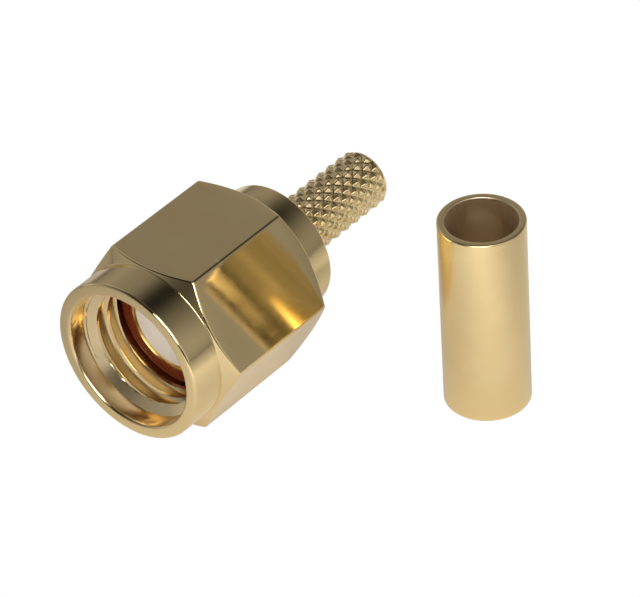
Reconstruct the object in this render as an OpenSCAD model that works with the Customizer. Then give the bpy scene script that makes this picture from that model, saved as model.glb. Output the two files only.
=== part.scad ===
// Miniature coaxial plug of the threaded type, crimp version for thin cable,
// lying on one flat of its coupling nut, with its loose crimp ferrule standing beside it.
// Millimetres. +Z is up, the mating mouth faces -Y, and the origin is the middle of the
// footprint on the surface that the plug lies on.
// "Depth" below is measured along the plug's axis, from the mouth of the nut towards the cable.

/* [Coupling nut] */
// Width across the flats of the hexagon
hex_af = 8; // [7.9:0.05:8.2]
// Overall length of the nut
nut_len = 8.45; // [8.3:0.05:8.6]
// Diameter of the round nose in front of the hexagon
nose_d = 7.78; // [7.6:0.02:7.9]
// Depth at which the nose ends and the front chamfer starts
nose_len = 1.73; // [1.6:0.05:1.9]
// Radius on the outer edge of the nose
nose_round = 0.2; // [0.1:0.02:0.3]
// Diameter of the clearance bore in the mouth
mouth_d = 6.56; // [6.5:0.02:6.7]
// Depth of the clearance bore
mouth_depth = 0.93; // [0.8:0.05:1]
// Minor diameter of the thread, 1/4-36 UNS
thread_minor_d = 5.62; // [5.58:0.02:5.7]
// Depth at which the full thread starts
thread_start = 1.2; // [1.15:0.05:1.3]
// Depth at which the thread ends in its relief
thread_end = 2.67; // [2.5:0.01:2.8]
// Diameter of the relief, which clears the mating thread
relief_d = 6.5; // [6.4:0.05:6.6]

/* [Connector body] */
// Depth of the reference plane, which is the front edge of the outer contact
ref_depth = 2.97; // [2.9:0.01:3.05]
// Outer diameter of the outer contact sleeve
sleeve_od = 4.59; // [4.56:0.01:4.6]
// Inner diameter of the outer contact sleeve
sleeve_id = 4.13; // [4.1:0.01:4.17]
// Depth of the shoulder that the gasket seats on
shoulder_depth = 5.6; // [5.5:0.05:5.7]
// Diameter of the barrel, which is the nut's journal and the collar behind it
barrel_d = 6.14; // [6.1:0.01:6.16]
// Depth at which the collar ends
collar_depth = 10.38; // [10.2:0.02:10.6]
// Diameter over the knurls of the crimp stem
stem_d = 2.82; // [2.7:0.02:2.9]
// Depth at which the crimp stem ends
stem_depth = 16.74; // [16.2:0.02:17]
// Bore of the stem for the cable's dielectric
cable_bore_d = 1.7; // [1.6:0.05:1.8]

/* [Running fits] */
// Radial clearance between nut and barrel
nut_play = 0.06; // [0.04:0.01:0.08]
// Axial play of the lock ring in the grooves, each way
ring_play = 0.07; // [0.05:0.01:0.1]

/* [Gasket] */
// Outer diameter of the gasket
gasket_od = 6.14; // [6:0.02:6.16]
// Thickness of the gasket along the axis
gasket_t = 0.9; // [0.8:0.05:1]
// Depth of the gasket's front face as it sits
gasket_depth = 3.1; // [3.05:0.05:3.3]

/* [Centre line] */
// Outer diameter of the centre contact
contact_d = 1.27; // [1.25:0.01:1.29]
// Socket in the front of the centre contact
socket_d = 0.94; // [0.92:0.01:0.96]
// Hole in the rear of the centre contact for the cable's conductor
conductor_d = 0.54; // [0.5:0.02:0.58]

/* [Ferrule] */
// Outer diameter of the crimp ferrule
ferrule_od = 3.88; // [3.8:0.02:4]
// Inner diameter of the crimp ferrule
ferrule_id = 3.22; // [3.2:0.02:3.3]
// Length of the crimp ferrule
ferrule_len = 9.52; // [9.3:0.02:9.6]
// Distance of the standing ferrule beside the plug's axis
ferrule_side = 10.98; // [9:0.02:12]
// Distance of the standing ferrule behind the nut's mouth
ferrule_back = 11.17; // [10:0.01:12]

/* [Hidden] */
$fn = 96;
gold = [0.83, 0.66, 0.36];
hex_r = hex_af / sqrt(3);
// frame: the middle of the footprint is the origin
half_x = (hex_r + ferrule_side + ferrule_od / 2) / 2;
plug_x = hex_r - half_x;
plug_y = -stem_depth / 2;
// nut
journal_d = barrel_d + 2 * nut_play;
journal_start = 5.75;
nut_groove_d = 7.02;
front_slope = 1.676;   // front chamfer, radius gained for each mm of depth
back_slope = 1.55;     // back chamfer
back_r = 3.92;         // radius of the flat ring on the back face
// lock ring and its grooves
ring_t = 0.5;
ring_mid = 6.95;
ring_id = 5.5;
ring_od = 6.84;
ring_gap = 1.4;
groove_w = ring_t + 2 * ring_play;
body_groove_d = 5.3;
// body
insulator_end = 8.6;
chamber_end = 9.9;
chamber_d = 2.4;
collar_round = 0.14;
stem_round = 0.42;
// centre line
insulator_front = ref_depth + 0.03;
contact_front = insulator_front + 0.02;
contact_shoulder_end = 8.3;
contact_tail_end = 9.8;
contact_tail_d = 1.1;
barb_d = 1.56;
barb_start = 6.05;
barb_end = 6.45;
socket_end = 5.6;
slot_end = 5.2;
slot_w = 0.12;

// points of an arc, for turned profiles
function arc(cx, cy, r, a0, a1, n = 6) =
    [for (i = [0 : n]) let (a = a0 + (a1 - a0) * i / n) [cx + r * cos(a), cy + r * sin(a)]];

// lays a piece that is turned about +Z onto the plug's axis: depth runs along +Y
module on_axis() {
    translate([plug_x, plug_y, hex_af / 2]) rotate([-90, 0, 0]) children();
}

// a plain bore from depth a to depth b
module bore(d, a, b) {
    translate([0, 0, a]) cylinder(h = b - a, d = d);
}

// a tapered cut from diameter d1 at depth a to diameter d2 at depth b
module taper(d1, a, d2, b) {
    translate([0, 0, a]) cylinder(h = b - a, d1 = d1, d2 = d2);
}

module coupling_nut() {
    color(gold) on_axis() difference() {
        intersection() {
            cylinder(h = nut_len, r = hex_r, $fn = 6);
            rotate_extrude() polygon(concat(
                [[0, 0]],
                arc(nose_d / 2 - nose_round, nose_round, nose_round, -90, 0),
                [[nose_d / 2, nose_len],
                 [nose_d / 2 + 1.2, nose_len + 1.2 / front_slope],
                 [nose_d / 2 + 1.2, nut_len - (nose_d / 2 + 1.2 - back_r) / back_slope],
                 [back_r, nut_len],
                 [0, nut_len]]));
        }
        // clearance bore with a rounded lip
        rotate_extrude() polygon(concat(
            [[0, -1], [mouth_d / 2 + 0.12, -1]],
            [for (p = arc(mouth_d / 2 + 0.12, 0.12, 0.12, 270, 180)) p],
            [[0, 0.12]]));
        bore(mouth_d, 0.1, mouth_depth);
        taper(mouth_d, mouth_depth, thread_minor_d, thread_start);
        bore(thread_minor_d, thread_start - 0.1, thread_end + 0.1);
        bore(relief_d, thread_end, journal_start);
        bore(journal_d, journal_start - 0.1, nut_len + 1);
        bore(nut_groove_d, ring_mid - groove_w / 2, ring_mid + groove_w / 2);
        taper(journal_d, nut_len - 0.12, journal_d + 0.26, nut_len + 0.01);
    }
}

// open spring ring, half in the nut's groove and half in the barrel's
module lock_ring() {
    color([0.80, 0.64, 0.38]) on_axis() difference() {
        translate([0, 0, ring_mid - ring_t / 2]) cylinder(h = ring_t, d = ring_od);
        bore(ring_id, ring_mid - ring_t, ring_mid + ring_t);
        translate([0, -ring_gap / 2, ring_mid - ring_t]) cube([ring_od, ring_gap, 2 * ring_t]);
    }
}

module gasket() {
    gi = sleeve_od / 2 + 0.015;
    go = gasket_od / 2;
    g0 = gasket_depth;
    g1 = gasket_depth + gasket_t;
    color([0.50, 0.17, 0.10]) on_axis() rotate_extrude() polygon(concat(
        [[gi, g0 + 0.05], [gi + 0.05, g0]],
        arc(go - 0.14, g0 + 0.14, 0.14, -90, 0, 4),
        arc(go - 0.1, g1 - 0.1, 0.1, 0, 90, 3),
        [[gi, g1]]));
}

// outer contact, barrel, collar and crimp stem turned in one piece
module connector_body() {
    color(gold) on_axis() difference() {
        union() {
            rotate_extrude() polygon(
                [[0, ref_depth], [sleeve_od / 2 - 0.07, ref_depth],
                 [sleeve_od / 2, ref_depth + 0.07],
                 [sleeve_od / 2, shoulder_depth + 0.1], [0, shoulder_depth + 0.1]]);
            rotate_extrude() polygon(concat(
                [[0, shoulder_depth], [barrel_d / 2 - 0.1, shoulder_depth],
                 [barrel_d / 2, shoulder_depth + 0.1]],
                arc(barrel_d / 2 - collar_round, collar_depth - collar_round, collar_round, 0, 90),
                [[0, collar_depth]]));
            rotate_extrude() polygon(concat(
                [[0, collar_depth - 0.2], [stem_d / 2, collar_depth - 0.2]],
                arc(stem_d / 2 - stem_round, stem_depth - stem_round, stem_round, 0, 90),
                [[0, stem_depth]]));
        }
        bore(sleeve_id, ref_depth - 1, insulator_end);
        taper(sleeve_id + 0.14, ref_depth - 0.01, sleeve_id, ref_depth + 0.06);
        bore(chamber_d, insulator_end - 0.1, chamber_end);
        bore(cable_bore_d, chamber_end - 0.1, stem_depth + 1);
        taper(cable_bore_d, stem_depth - 0.14, cable_bore_d + 0.3, stem_depth + 0.01);
        // groove for the lock ring
        difference() {
            bore(barrel_d + 1, ring_mid - groove_w / 2, ring_mid + groove_w / 2);
            bore(body_groove_d, ring_mid - 1, ring_mid + 1);
        }
    }
}

module insulator() {
    color([0.93, 0.91, 0.88]) on_axis() difference() {
        bore(sleeve_id - 0.02, insulator_front, insulator_end - 0.02);
        bore(contact_d + 0.02, insulator_front - 1, insulator_end + 1);
        bore(barb_d + 0.02, barb_start - 0.02, barb_end + 0.02);
    }
}

// slotted socket in front, barb that locks it in the insulator, crimp barrel behind
module center_contact() {
    color(gold) on_axis() difference() {
        union() {
            bore(contact_d, contact_front, contact_shoulder_end);
            taper(contact_d, barb_start, barb_d, barb_end);
            bore(contact_tail_d, contact_shoulder_end - 0.1, contact_tail_end);
        }
        bore(socket_d, contact_front - 1, socket_end);
        taper(socket_d + 0.16, contact_front - 0.01, socket_d, contact_front + 0.1);
        bore(conductor_d, contact_shoulder_end - 0.4, contact_tail_end + 1);
        for (a = [45, 135])
            rotate([0, 0, a]) translate([-contact_d, -slot_w / 2, contact_front - 1])
                cube([2 * contact_d, slot_w, slot_end - contact_front + 1]);
    }
}

// loose tube that is crimped over the cable's braid on the stem; stands on its end
module crimp_ferrule() {
    color([0.85, 0.69, 0.42]) translate([plug_x + ferrule_side, plug_y + ferrule_back, 0])
        difference() {
            rotate_extrude() polygon(concat(
                [[0, 0]],
                arc(ferrule_od / 2 - 0.08, 0.08, 0.08, -90, 0, 3),
                arc(ferrule_od / 2 - 0.12, ferrule_len - 0.12, 0.12, 0, 90, 4),
                [[0, ferrule_len]]));
            bore(ferrule_id, -1, ferrule_len + 1);
            taper(ferrule_id + 0.1, -0.01, ferrule_id, 0.05);
            taper(ferrule_id, ferrule_len - 0.08, ferrule_id + 0.16, ferrule_len + 0.01);
        }
}

coupling_nut();
lock_ring();
gasket();
connector_body();
insulator();
center_contact();
crimp_ferrule();
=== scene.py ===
# Looks of the miniature threaded coaxial plug and its loose crimp ferrule.
import math

import bmesh
import bpy
import numpy as np
from mathutils import Matrix, Vector


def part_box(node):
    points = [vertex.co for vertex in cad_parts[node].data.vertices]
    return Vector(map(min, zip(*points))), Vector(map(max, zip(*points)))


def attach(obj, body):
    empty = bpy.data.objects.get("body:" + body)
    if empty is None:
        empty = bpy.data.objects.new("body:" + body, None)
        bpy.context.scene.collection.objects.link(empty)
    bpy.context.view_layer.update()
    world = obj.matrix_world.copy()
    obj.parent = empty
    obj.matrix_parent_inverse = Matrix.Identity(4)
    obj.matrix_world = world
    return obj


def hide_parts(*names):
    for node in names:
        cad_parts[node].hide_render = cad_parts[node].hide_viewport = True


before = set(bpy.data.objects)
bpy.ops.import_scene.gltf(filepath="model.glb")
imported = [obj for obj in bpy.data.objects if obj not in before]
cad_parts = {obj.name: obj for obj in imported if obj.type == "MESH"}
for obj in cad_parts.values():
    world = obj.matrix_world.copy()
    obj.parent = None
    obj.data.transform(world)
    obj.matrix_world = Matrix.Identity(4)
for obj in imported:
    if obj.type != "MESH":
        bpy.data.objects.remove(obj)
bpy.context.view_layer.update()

MM = 0.001

# ---------------------------------------------------------------- places taken from the CAD
nut_lo, nut_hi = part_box("coupling_nut")
PX = (nut_lo.x + nut_hi.x) / 2 / MM          # plug axis
PZ = (nut_lo.z + nut_hi.z) / 2 / MM
PY = nut_lo.y / MM                           # mouth of the nut, depth 0
fer_lo, fer_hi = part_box("crimp_ferrule")
FX = (fer_lo.x + fer_hi.x) / 2 / MM
FY = (fer_lo.y + fer_hi.y) / 2 / MM
FER_R = (fer_hi.x - fer_lo.x) / 2 / MM
FER_L = fer_hi.z / MM
HEX = (nut_hi.z - nut_lo.z) / 2 / MM         # half the width across flats
NUT_L = (nut_hi.y - nut_lo.y) / MM


# ---------------------------------------------------------------- mesh helpers
def on_plug(s, r, t):
    """depth s, radius r, angle t (0 = +X, 90 = up) to the row frame, millimetres"""
    return np.stack([PX + r * np.cos(t), PY + s, PZ + r * np.sin(t)], -1)


def on_ferrule(s, r, t):
    return np.stack([FX + r * np.cos(t), FY + r * np.sin(t), s], -1)


def fillet(pts, radii, n=5, closed=True):
    """Rounds the corners of a polyline of (s, r) points; radii of 0 keep a corner."""
    pts = [np.array(p, float) for p in pts]
    out = []
    m = len(pts)
    for i in range(m):
        a, b, c = pts[i - 1], pts[i], pts[(i + 1) % m]
        rad = radii[i]
        if rad <= 0 or (not closed and i in (0, m - 1)):
            out.append(b)
            continue
        u, v = a - b, c - b
        lu, lv = np.linalg.norm(u), np.linalg.norm(v)
        u, v = u / lu, v / lv
        ang = math.acos(float(np.clip(u @ v, -1, 1)))
        if ang > math.pi - 0.02:
            out.append(b)
            continue
        d = min(rad / math.tan(ang / 2), 0.48 * lu, 0.48 * lv)
        rr = d * math.tan(ang / 2)
        w = (u + v) / np.linalg.norm(u + v)
        centre = b + w * (rr / math.sin(ang / 2))
        p0, p1 = b + u * d, b + v * d
        a0 = math.atan2(*(p0 - centre)[::-1])
        a1 = math.atan2(*(p1 - centre)[::-1])
        da = (a1 - a0 + math.pi) % (2 * math.pi) - math.pi
        for k in range(n + 1):
            q = a0 + da * k / n
            out.append(centre + rr * np.array([math.cos(q), math.sin(q)]))
    return np.array(out)


def grid_mesh(name, P, close_rows=True, merge=2e-8, angle=32):
    """P[j, i] are points in millimetres: j round the axis (first and last coincide), i along a closed profile."""
    nj, ni = P.shape[:2]
    verts = (P.reshape(-1, 3) * MM).tolist()
    faces = []
    last = ni if close_rows else ni - 1
    for j in range(nj - 1):
        for i in range(last):
            k = (i + 1) % ni
            faces.append((j * ni + i, j * ni + k, (j + 1) * ni + k, (j + 1) * ni + i))
    return finish_mesh(name, verts, faces, merge, angle)


def finish_mesh(name, verts, faces, merge=2e-8, angle=32):
    me = bpy.data.meshes.new(name)
    me.from_pydata(verts, [], faces)
    bm = bmesh.new()
    bm.from_mesh(me)
    bmesh.ops.remove_doubles(bm, verts=bm.verts, dist=merge)
    bmesh.ops.dissolve_degenerate(bm, dist=merge, edges=bm.edges)
    bmesh.ops.recalc_face_normals(bm, faces=bm.faces)
    bm.to_mesh(me)
    bm.free()
    me.shade_smooth()
    me.set_sharp_from_angle(angle=math.radians(angle))
    ob = bpy.data.objects.new(name, me)
    bpy.context.scene.collection.objects.link(ob)
    return ob


def lathe(name, prof, place, n=192, angle=32):
    t = np.linspace(0, 2 * math.pi, n + 1)
    prof = np.asarray(prof, float)
    T, S = np.meshgrid(t, prof[:, 0], indexing="ij")
    R = np.broadcast_to(prof[:, 1], T.shape)
    return grid_mesh(name, place(S, R, T), angle=angle)


# ---------------------------------------------------------------- coupling nut
NOSE_R, NOSE_L = 3.89, 1.73
MOUTH_R, MOUTH_D = 3.28, 0.93
MINOR_R, PITCH, THREAD_END = 2.81, 0.7056, 2.67
MAJOR_R = MINOR_R + 0.5413 * PITCH
RELIEF_R, JOURNAL_R, GROOVE_R = 3.25, 3.13, 3.51
CREST_AT, CREST_T = 1.26, math.radians(228)   # a crest's depth, at this angle


EDGE = 0.17      # rounding of the long edges of the hexagon


def hex_radius(t, rho=EDGE):
    """polar radius of the hexagon, corners at 0, 60 ... degrees, rounded by rho"""
    d = (t + math.pi / 6) % (math.pi / 3) - math.pi / 6      # from the nearest corner
    flat = HEX / np.cos(math.pi / 6 - np.abs(d))
    c = (HEX - rho) / math.cos(math.pi / 6)
    dt = math.atan2(0.5 * rho, c + rho * math.cos(math.pi / 6))
    inside = np.abs(d) < dt
    disc = np.sqrt(np.maximum(rho ** 2 - (c * np.sin(d)) ** 2, 0))
    return np.where(inside, c * np.cos(d) + disc, flat)


def thread_radius(s, t):
    ph = ((s - CREST_AT) / PITCH + (t - CREST_T) / (2 * math.pi) + 0.5) % 1.0 - 0.5
    a = np.clip((np.abs(ph) - 0.125) / 0.3125, 0, 1)
    return MINOR_R + (MAJOR_R - MINOR_R) * a


def bore_radius(s, t):
    cone = MOUTH_R - (s - MOUTH_D) * (MOUTH_R - MINOR_R) / 0.27
    return np.maximum(cone, thread_radius(s, t))


def build_nut():
    t = list(np.linspace(0, 2 * math.pi, 325))
    dt = math.atan2(0.5 * EDGE, 4.6)
    for k in range(7):
        for d in (-2.2 * dt, -1.0 * dt, -0.66 * dt, -0.33 * dt, 0.33 * dt, 0.66 * dt, 1.0 * dt, 2.2 * dt):
            q = k * math.pi / 3 + d
            if 0 < q < 2 * math.pi:
                t.append(q)
    t = np.array(sorted(set(np.round(t, 9))))
    # phases of the helical rows
    eps = 0.014
    keys = {-0.5, 0.5}
    for c in (0.125, 0.4375):
        for sg in (-1, 1):
            keys |= {sg * c - eps, sg * c + eps}
    keys |= set(np.round(np.arange(-0.48, 0.5, 0.045), 4))
    ph = sorted(keys)
    keep = [ph[0]]
    for q in ph[1:]:
        if q - keep[-1] > 0.011:
            keep.append(q)
    ph = np.array([q for q in keep if q < 0.5 - 1e-6])
    rows = np.concatenate([k + ph for k in range(-1, 4)])
    mid_rows = np.concatenate([np.linspace(2.5, 3.5, 4), np.linspace(3.7, 4.2, 24), np.linspace(4.6, 7.6, 7)])
    P = []
    for q in t:
        rh = float(hex_radius(np.array(q)))
        s_f = NOSE_L + (rh - NOSE_R) / 1.676
        s_b = NUT_L - (rh - 3.92) / 1.55
        front = fillet([(0, 3.60), (0, NOSE_R), (NOSE_L, NOSE_R), (s_f, rh), (2.4, rh)],
                       [0, 0.27, 0.06, 0.13, 0], n=8, closed=False)
        d = (q + math.pi / 6) % (math.pi / 3) - math.pi / 6
        near = (q - math.pi / 3 + math.pi) % (2 * math.pi) - math.pi
        nick = 0.016 * np.exp(-((mid_rows - 3.95) / 0.035) ** 2) * math.exp(-((near - 0.028) / 0.035) ** 4)
        mid = np.stack([mid_rows, rh - nick], -1)
        back = fillet([(7.7, rh), (s_b, rh), (NUT_L, 3.92), (NUT_L, 3.26), (NUT_L - 0.13, JOURNAL_R),
                       (7.27, JOURNAL_R), (7.27, GROOVE_R), (6.63, GROOVE_R), (6.63, JOURNAL_R),
                       (5.75, JOURNAL_R), (5.75, RELIEF_R), (THREAD_END, RELIEF_R)],
                      [0, 0.12, 0.09, 0.02, 0, 0, 0, 0, 0, 0.02, 0.1, 0.05], n=4, closed=False)
        s = CREST_AT - PITCH * (q - CREST_T) / (2 * math.pi) + rows * PITCH
        s = np.clip(s, MOUTH_D, THREAD_END)[::-1]
        bore = np.stack([s, bore_radius(s, q)], -1)
        mouth = fillet([(MOUTH_D, MOUTH_R), (0.0, MOUTH_R), (0.0, 3.60)], [0, 0.29, 0], n=9, closed=False)
        prof = np.concatenate([front, mid, back, bore, mouth[1:-1]])
        P.append(on_plug(prof[:, 0], prof[:, 1], np.full(len(prof), q)))
    return grid_mesh("nut_shell", np.array(P), angle=28)


nut = build_nut()


# ---------------------------------------------------------------- body: sleeve, barrel, collar, knurled stem
STEM_R, STEM_END, COLLAR_END = 1.41, 16.74, 10.38
KNURL_N, KNURL_P, KNURL_H = 14, 0.695, 0.135
KNURL_S0, KNURL_T0 = 15.05, math.radians(74.4)   # a peak sits at this depth and angle


def soft_abs(x, w):
    return np.sqrt(x * x + w * w)


def stem_radius(s, t):
    u = (s - KNURL_S0) / KNURL_P
    v = (t - KNURL_T0) * KNURL_N / (2 * math.pi)
    tri = lambda x: np.abs((x + 0.5) % 1.0 - 0.5) * 2          # 0 on a peak, 1 in a groove
    a, b = tri(u + v), tri(u - v)
    m = np.minimum((a ** 6 + b ** 6) ** (1 / 6), 1.0)
    depth = KNURL_H * (np.sqrt(m * m + 0.035) - 0.187) / 0.830
    start = np.clip((s - 10.72) / 0.22, 0, 1)
    stop = np.clip((16.62 - s) / 0.34, 0, 1)
    depth = depth * start * stop
    neck = 0.07 * (1 - start)
    dome = np.clip(s - (STEM_END - 0.42), 0, 0.42)
    env = STEM_R - 0.42 + np.sqrt(np.maximum(0.42 ** 2 - dome ** 2, 0))
    return np.minimum(env, STEM_R) - neck - depth


def build_body():
    n = 252
    t = np.linspace(0, 2 * math.pi, n + 1)
    rows_a = fillet([(2.97, 2.10), (2.97, 2.295), (5.6, 2.295), (5.6, 3.07), (6.63, 3.07), (6.63, 2.65),
                     (7.27, 2.65), (7.27, 3.07), (COLLAR_END, 3.07), (COLLAR_END, 1.6)],
                    [0, 0.055, 0.04, 0.08, 0.02, 0.03, 0.03, 0.02, 0.12, 0], n=5, closed=False)
    s_k = np.concatenate([[COLLAR_END, 10.5, 10.62, 10.7], np.arange(10.74, 16.30, 0.0333), STEM_END - 0.42 + 0.42 * np.sin(np.radians(np.linspace(0, 78, 14)))])
    inner = fillet([(STEM_END, 0.99), (STEM_END - 0.13, 0.85), (9.9, 0.85), (9.9, 1.2), (8.6, 1.2), (8.6, 2.065),
                    (3.03, 2.065), (2.97, 2.10)], [0.03, 0.03, 0.02, 0.02, 0.02, 0.02, 0.01, 0.0], n=3, closed=False)
    P = []
    for q in t:
        stem = np.stack([s_k, stem_radius(s_k, q)], -1)
        stem[0, 1] = stem[1, 1]
        prof = np.concatenate([rows_a, stem, inner[:-1]])
        P.append(on_plug(prof[:, 0], prof[:, 1], np.full(len(prof), q)))
    return grid_mesh("body_turned", np.array(P), angle=40)


body = build_body()

# ---------------------------------------------------------------- gasket, insulator, ring, contact, ferrule
gk_lo, gk_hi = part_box("gasket")
G0 = gk_lo.y / MM - PY
G1 = gk_hi.y / MM - PY
GR = (gk_hi.x - gk_lo.x) / 2 / MM
gasket = lathe("gasket_ring", fillet(
    [(G0, 2.31), (G0, GR), (G1, GR), (G1, 2.31)], [0.06, 0.2, 0.14, 0.03], n=8), on_plug)

in_lo, in_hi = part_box("insulator")
I0 = in_lo.y / MM - PY
I1 = in_hi.y / MM - PY
insulator = lathe("insulator_turned", fillet(
    [(I0, 0.645), (I0, 2.055), (I1, 2.055), (I1, 0.645), (6.47, 0.645), (6.47, 0.79), (6.03, 0.79), (6.03, 0.645)],
    [0.015, 0.03, 0.03, 0.02, 0.01, 0.01, 0.01, 0.01], n=4), on_plug)

ferrule = lathe("ferrule_tube", fillet(
    [(0, 1.61), (0, FER_R), (FER_L, FER_R), (FER_L, 1.61)], [0.03, 0.06, 0.09, 0.06], n=6), on_ferrule, n=256)


def build_ring():
    """spring ring of rectangular section, open towards +X"""
    gap = math.asin(0.7 / 3.1)
    t = np.linspace(gap, 2 * math.pi - gap, 150)
    prof = fillet([(6.70, 2.75), (6.70, 3.42), (7.20, 3.42), (7.20, 2.75)], [0.05] * 4, n=4)
    m = len(prof)
    verts, faces = [], []
    for j, q in enumerate(t):
        verts += (on_plug(prof[:, 0], prof[:, 1], np.full(m, q)) * MM).tolist()
    for j in range(len(t) - 1):
        for i in range(m):
            k = (i + 1) % m
            faces.append((j * m + i, j * m + k, (j + 1) * m + k, (j + 1) * m + i))
    faces.append(tuple(range(m)))
    faces.append(tuple((len(t) - 1) * m + i for i in range(m))[::-1])
    return finish_mesh("lock_ring_wire", verts, faces, angle=35)


ring = build_ring()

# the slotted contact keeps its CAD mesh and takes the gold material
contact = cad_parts["center_contact"]

for ob, b in ((nut, "nut"), (body, "plug"), (gasket, "seal"), (insulator, "plug"), (ring, "ring"), (ferrule, "plug")):
    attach(ob, b)
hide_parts("coupling_nut")
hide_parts("connector_body")
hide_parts("gasket")
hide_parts("insulator")
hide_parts("lock_ring")
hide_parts("crimp_ferrule")


# ---------------------------------------------------------------- materials
class Nodes:
    def __init__(self, name):
        self.mat = bpy.data.materials.new(name)
        self.mat.use_nodes = True
        self.nt = self.mat.node_tree
        self.bsdf = self.nt.nodes["Principled BSDF"]
        self.coord = self.nt.nodes.new("ShaderNodeTexCoord")

    def new(self, kind, **kw):
        n = self.nt.nodes.new(kind)
        for k, v in kw.items():
            setattr(n, k, v)
        return n

    def link(self, a, b):
        self.nt.links.new(a, b)

    def mapped(self, scale, rot=(0, 0, 0)):
        m = self.new("ShaderNodeMapping")
        m.inputs["Scale"].default_value = scale
        m.inputs["Rotation"].default_value = rot
        self.link(self.coord.outputs["Object"], m.inputs["Vector"])
        return m.outputs["Vector"]

    def noise(self, vec, scale, detail=3.0, rough=0.55, dist=0.0):
        n = self.new("ShaderNodeTexNoise")
        n.inputs["Scale"].default_value = scale
        n.inputs["Detail"].default_value = detail
        n.inputs["Roughness"].default_value = rough
        n.inputs["Distortion"].default_value = dist
        self.link(vec, n.inputs["Vector"])
        return n.outputs["Fac"]

    def ramp(self, fac, stops):
        r = self.new("ShaderNodeValToRGB")
        el = r.color_ramp.elements
        while len(el) < len(stops):
            el.new(0.5)
        for e, (p, c) in zip(el, stops):
            e.position = p
            e.color = c if len(c) == 4 else (*c, 1)
        self.link(fac, r.inputs["Fac"])
        return r.outputs["Color"]

    def remap(self, fac, a, b, c, d):
        m = self.new("ShaderNodeMapRange")
        m.inputs["From Min"].default_value = a
        m.inputs["From Max"].default_value = b
        m.inputs["To Min"].default_value = c
        m.inputs["To Max"].default_value = d
        self.link(fac, m.inputs["Value"])
        return m.outputs["Result"]

    def math(self, op, a, b):
        m = self.new("ShaderNodeMath", operation=op)
        for i, x in enumerate((a, b)):
            if isinstance(x, (int, float)):
                m.inputs[i].default_value = x
            else:
                self.link(x, m.inputs[i])
        return m.outputs[0]

    def mix(self, fac, a, b):
        m = self.new("ShaderNodeMix", data_type="RGBA")
        self.link(fac, m.inputs["Factor"])
        for i, x in ((6, a), (7, b)):
            if isinstance(x, tuple):
                m.inputs[i].default_value = (*x, 1)
            else:
                self.link(x, m.inputs[i])
        return m.outputs[2]

    def bump(self, height, strength, distance):
        b = self.new("ShaderNodeBump")
        b.inputs["Strength"].default_value = strength
        b.inputs["Distance"].default_value = distance
        self.link(height, b.inputs["Height"])
        self.link(b.outputs["Normal"], self.bsdf.inputs["Normal"])
        return b


def gold(name, tint, deep, rough, turned="y", marks=0.25, scratch=0.5, inside=None):
    """Gold plate: warm tint that drifts a little, tool marks round the turning axis, fine hairlines and dull specks."""
    m = Nodes(name)
    obj = m.coord.outputs["Object"]
    drift = m.noise(obj, 420, 2)
    col = m.ramp(drift, [(0.3, deep), (0.7, tint)])
    specks = m.noise(obj, 9000, 2, 0.6)
    col = m.mix(m.remap(specks, 0.66, 0.78, 0.0, 0.22), col, tuple(0.6 * c for c in deep))
    m.link(col, m.bsdf.inputs["Base Color"])
    m.bsdf.inputs["Metallic"].default_value = 1.0
    # hairlines
    h1 = m.noise(m.mapped((900, 900, 26000), (0.5, 0.3, 0.9)), 1.0, 3, 0.7)
    h2 = m.noise(m.mapped((22000, 700, 900), (0.2, 0.7, 0.4)), 1.0, 3, 0.7)
    hair = m.math("MAXIMUM", m.remap(h1, 0.60, 0.75, 0, 1), m.remap(h2, 0.60, 0.75, 0, 1))
    smear = m.noise(obj, 700, 4, 0.65)
    r = m.math("ADD", m.remap(smear, 0.3, 0.7, rough * 0.75, rough * 1.35), m.math("MULTIPLY", hair, 0.12 * scratch))
    if inside:
        # the bore is duller than the outside, and its colour is paler there as painted light standing in for light
        # bounced into the hollow: axis of the bore, radius where it starts, its roughness and its painted-light tint
        (ax, ay, az), r_in, dull, painted_bore_light = inside
        off = m.new("ShaderNodeVectorMath", operation="SUBTRACT")
        m.link(obj, off.inputs[0])
        off.inputs[1].default_value = (ax * MM, ay * MM, az * MM)
        flat = m.new("ShaderNodeVectorMath", operation="MULTIPLY")
        m.link(off.outputs["Vector"], flat.inputs[0])
        flat.inputs[1].default_value = (1, 0, 1) if turned == "y" else (1, 1, 0)
        dist = m.new("ShaderNodeVectorMath", operation="LENGTH")
        m.link(flat.outputs["Vector"], dist.inputs[0])
        mask = m.remap(dist.outputs["Value"], (r_in - 0.03) * MM, (r_in + 0.03) * MM, 1.0, 0.0)
        r = m.math("ADD", r, m.math("MULTIPLY", mask, dull - rough))
        # painted light: the bore takes the paler tint
        m.link(m.mix(mask, col, painted_bore_light), m.bsdf.inputs["Base Color"])
    m.link(r, m.bsdf.inputs["Roughness"])
    # marks of the tool, fine rings across the turning axis
    axis_scale = {"y": (300, 42000, 300), "z": (300, 300, 42000)}[turned]
    rings = m.noise(m.mapped(axis_scale), 1.0, 2, 0.5)
    height = m.math("ADD", m.math("MULTIPLY", rings, marks), m.math("MULTIPLY", hair, -0.35 * scratch))
    m.bump(height, 0.25, 0.000004)
    return m.mat


TINT, DEEP = (0.93, 0.765, 0.42), (0.90, 0.725, 0.375)
# the last colour in each bore entry is a paler tint, painted light inside the hollow
mat_nut = gold("gold_nut", TINT, DEEP, 0.055, "y", 0.3, 1.0, ((PX, 0, PZ), 3.34, 0.17, (0.93, 0.775, 0.47)))
mat_body = gold("gold_body", TINT, DEEP, 0.15, "y", 0.4, 0.4)
mat_ferrule = gold("gold_ferrule", (0.93, 0.76, 0.41), (0.90, 0.72, 0.37), 0.20, "z", 0.5, 0.5, ((FX, FY, 0), 1.66, 0.36, (0.90, 0.77, 0.57)))
mat_contact = gold("gold_contact", TINT, DEEP, 0.15, "y", 0.3, 0.3)
mat_ring = gold("gold_ring", (0.86, 0.68, 0.38), (0.80, 0.62, 0.32), 0.25, "y", 0.3, 0.4)


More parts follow.
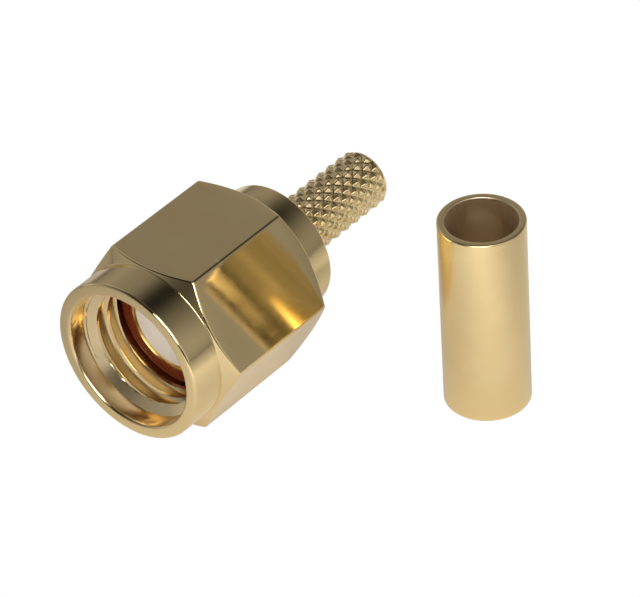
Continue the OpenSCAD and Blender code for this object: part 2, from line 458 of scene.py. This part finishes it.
def rubber():
    m = Nodes("silicone_red")
    obj = m.coord.outputs["Object"]
    n = m.noise(obj, 900, 4, 0.6)
    col = m.ramp(n, [(0.3, (0.155, 0.022, 0.008)), (0.7, (0.215, 0.038, 0.013))])
    m.link(col, m.bsdf.inputs["Base Color"])
    m.link(m.remap(m.noise(obj, 2500, 3), 0.3, 0.7, 0.22, 0.38), m.bsdf.inputs["Roughness"])
    m.bsdf.inputs["Specular IOR Level"].default_value = 0.6
    m.bsdf.inputs["Subsurface Weight"].default_value = 0.08
    m.bsdf.inputs["Subsurface Radius"].default_value = (1.0, 0.25, 0.12)
    m.bsdf.inputs["Subsurface Scale"].default_value = 0.0002
    m.bump(m.noise(obj, 5200, 3), 0.2, 0.00001)
    return m.mat


def ptfe():
    m = Nodes("fluoropolymer_white")
    obj = m.coord.outputs["Object"]
    rings = m.noise(m.mapped((300, 300, 300)), 40, 2)
    col = m.ramp(m.noise(obj, 1500, 3), [(0.3, (0.90, 0.87, 0.82)), (0.7, (0.93, 0.91, 0.87))])
    m.link(col, m.bsdf.inputs["Base Color"])
    m.link(m.remap(rings, 0.3, 0.7, 0.38, 0.5), m.bsdf.inputs["Roughness"])
    m.bsdf.inputs["Subsurface Weight"].default_value = 0.25
    m.bsdf.inputs["Subsurface Radius"].default_value = (1.0, 0.9, 0.8)
    m.bsdf.inputs["Subsurface Scale"].default_value = 0.0003
    m.bump(m.noise(obj, 6000, 3), 0.15, 0.000006)
    return m.mat


def put(ob, mat):
    ob.data.materials.clear()
    ob.data.materials.append(mat)


put(nut, mat_nut)
put(body, mat_body)
put(ferrule, mat_ferrule)
put(contact, mat_contact)
put(ring, mat_ring)
put(gasket, rubber())
put(insulator, ptfe())


# ---------------------------------------------------------------- stage: floor, sky, lights
def camera_split(nt, seen, other, out):
    """what the camera sees directly, and what lights and reflects in the metal"""
    lp = nt.nodes.new("ShaderNodeLightPath")
    mix = nt.nodes.new("ShaderNodeMixShader")
    nt.links.new(lp.outputs["Is Camera Ray"], mix.inputs[0])
    nt.links.new(other, mix.inputs[1])
    nt.links.new(seen, mix.inputs[2])
    nt.links.new(mix.outputs[0], out)


def math_node(nt, op, a, b=None):
    m = nt.nodes.new("ShaderNodeMath")
    m.operation = op
    for i, x in enumerate((a, b)):
        if isinstance(x, (int, float)):
            m.inputs[i].default_value = x
        elif x is not None:
            nt.links.new(x, m.inputs[i])
    return m.outputs[0]


def total(nt, terms):
    out = terms[0]
    for t in terms[1:]:
        out = math_node(nt, "ADD", out, t)
    return out


def sky_dir(az, el):
    """az 0 = straight away from the camera, 90 = to its right"""
    a = math.radians(az - CAM_AZ)
    e = math.radians(el)
    return Vector((math.sin(a) * math.cos(e), math.cos(a) * math.cos(e), math.sin(e)))


def build_floor(pools):
    """matt white sheet; each pool is a soft patch of light on it: x, y, spread in mm, strength"""
    n = 96
    verts = [(0, 0, 0)] + [(0.6 * math.cos(2 * math.pi * i / n), 0.6 * math.sin(2 * math.pi * i / n), 0) for i in range(n)]
    faces = [(0, 1 + i, 1 + (i + 1) % n) for i in range(n)]
    me = bpy.data.meshes.new("floor")
    me.from_pydata(verts, [], faces)
    ob = bpy.data.objects.new("floor", me)
    bpy.context.scene.collection.objects.link(ob)
    ob.location = (0, 0, -0.00002)
    mat = bpy.data.materials.new("floor_white")
    mat.use_nodes = True
    nt = mat.node_tree
    out = nt.nodes["Material Output"]
    nt.nodes.remove(nt.nodes["Principled BSDF"])
    co = nt.nodes.new("ShaderNodeTexCoord")
    terms = []
    for x, y, spread, v in pools:
        d = nt.nodes.new("ShaderNodeVectorMath")
        d.operation = "DISTANCE"
        nt.links.new(co.outputs["Object"], d.inputs[0])
        d.inputs[1].default_value = (x * MM, y * MM, 0)
        q = math_node(nt, "POWER", math_node(nt, "DIVIDE", d.outputs["Value"], spread * MM), 2.0)
        terms.append(math_node(nt, "MULTIPLY", math_node(nt, "EXPONENT", math_node(nt, "MULTIPLY", q, -0.5)), v))
    pool = nt.nodes.new("ShaderNodeEmission")
    pool.inputs["Color"].default_value = (*WARM, 1)
    nt.links.new(total(nt, terms), pool.inputs["Strength"])
    dif = nt.nodes.new("ShaderNodeBsdfDiffuse")
    dif.inputs["Color"].default_value = (0.6, 0.6, 0.6, 1)
    add = nt.nodes.new("ShaderNodeAddShader")
    nt.links.new(dif.outputs[0], add.inputs[0])
    nt.links.new(pool.outputs[0], add.inputs[1])
    em = nt.nodes.new("ShaderNodeEmission")
    em.inputs["Color"].default_value = (1, 1, 1, 1)
    em.inputs["Strength"].default_value = 1.0
    camera_split(nt, em.outputs[0], add.outputs[0], out.inputs["Surface"])
    me.materials.append(mat)
    return ob


def build_sky(lobes):
    """soft studio surroundings as smooth patches: azimuth, height, strength"""
    world = bpy.data.worlds.new("studio")
    bpy.context.scene.world = world
    world.use_nodes = True
    nt = world.node_tree
    bg = nt.nodes["Background"]
    tc = nt.nodes.new("ShaderNodeTexCoord")
    terms = []
    for az, el, v in lobes:
        dot = nt.nodes.new("ShaderNodeVectorMath")
        dot.operation = "DOT_PRODUCT"
        nt.links.new(tc.outputs["Generated"], dot.inputs[0])
        dot.inputs[1].default_value = sky_dir(az, el)
        k = math_node(nt, "MULTIPLY", math_node(nt, "SUBTRACT", dot.outputs["Value"], 1.0), 30.0)
        terms.append(math_node(nt, "MULTIPLY", math_node(nt, "EXPONENT", k), v))
    bg.inputs["Color"].default_value = (*WARM, 1)
    nt.links.new(total(nt, terms), bg.inputs["Strength"])
    seen = nt.nodes.new("ShaderNodeBackground")
    seen.inputs["Color"].default_value = (1, 1, 1, 1)
    camera_split(nt, seen.outputs[0], bg.outputs[0], nt.nodes["World Output"].inputs["Surface"])


def softbox(name, at, aim, radius, radiance, color):
    d = bpy.data.lights.new(name, "AREA")
    d.shape = "DISK"
    d.size = 2 * radius
    d.color = color
    d.energy = radiance * math.pi * math.pi * radius ** 2
    ob = bpy.data.objects.new(name, d)
    bpy.context.scene.collection.objects.link(ob)
    ob.location = at
    ob.rotation_mode = "QUATERNION"
    ob.rotation_quaternion = (Vector(aim) - Vector(at)).to_track_quat("-Z", "Y")
    ob.visible_camera = False
    return ob


CAM_AZ = 40.88
WARM = (1.060, 0.990, 0.951)
SKY = [
    (0, 4, 0.137), (30, 4, 0.087), (60, 4, 0.205), (90, 4, 0.175),
    (120, 4, 0.677), (150, 4, 0.04), (210, 4, 0.146), (240, 4, 0.148),
    (270, 4, 0.23), (300, 4, 0.545), (330, 4, 0.259), (15, 20, 0.339),
    (45, 20, 0.344), (75, 20, 0.185), (105, 20, 0.223), (135, 20, 0.341),
    (255, 20, 0.22), (285, 20, 0.214), (315, 20, 0.074), (345, 20, 0.184),
    (0, 37, 0.113), (36, 37, 0.02), (72, 37, 0.073), (108, 37, 0.24),
    (144, 37, 0.696), (324, 37, 0.378), (0, 54, 0.135), (90, 54, 0.071),
    (135, 54, 0.397), (315, 54, 0.263), (0, 90, 0.147),
]
POOLS = [
    (-9.2, 10.6, 6, 0.178), (1.0, 14.0, 6, 0.206), (10.6, 9.2, 6, 0.042), (14.0, -1.0, 6, 0.237),
    (9.2, -10.6, 6, 0.054), (-1.0, -14.0, 6, 0.217), (-19.6, 22.7, 11, 0.466), (2.2, 29.9, 11, 0.184),
    (22.7, 19.6, 11, 0.068), (29.9, -2.2, 11, 0.129), (19.6, -22.7, 11, 0.525), (-42.5, 49.1, 24, 0.148),
    (4.7, 64.8, 24, 0.186), (49.1, 42.5, 24, 0.051), (42.5, -49.1, 24, 0.765), (-6.0, 0.0, 4, 0.156),
    (4.0, -2.0, 4, 0.039),
]
build_floor(POOLS)
build_sky(SKY)
# round soft panels round the camera's own direction: azimuth, height, half width in degrees, strength
PANELS = [
    (180, 37, 10, 4.58), (180, 37, 19, 2.57), (155, 24, 7, 0.42), (180, 24, 7, 5.09),
    (205, 24, 7, 2.07), (205, 37, 7, 9.63), (155, 63, 7, 2.06),
]
for i, (az, el, half, v) in enumerate(PANELS):
    softbox("panel_%d" % i, sky_dir(az, el) * 0.42, (0, 0, 0), 0.42 * math.tan(math.radians(half)), v, WARM)

# ---------------------------------------------------------------- camera
cam_data = bpy.data.cameras.new("camera")
cam = bpy.data.objects.new("camera", cam_data)
bpy.context.scene.collection.objects.link(cam)
look = Vector((-3.564, 3.963, 0.0)) * MM
back = Vector((0.5211, -0.6020, 0.6050)).normalized()
right0 = Vector((0.7561, 0.6545, 0.0)).normalized()
up0 = back.cross(right0)
roll = math.radians(-3.61)
right = math.cos(roll) * right0 + math.sin(roll) * up0
up = -math.sin(roll) * right0 + math.cos(roll) * up0
pos = look + back * 0.2088
cam.matrix_world = Matrix((
    (right.x, up.x, back.x, pos.x),
    (right.y, up.y, back.y, pos.y),
    (right.z, up.z, back.z, pos.z),
    (0, 0, 0, 1)))
cam_data.lens = 259.34
cam_data.sensor_width = 36
cam_data.clip_start = 0.005
cam_data.clip_end = 5
bpy.context.scene.camera = cam
bpy.context.scene.view_settings.view_transform = "Standard"
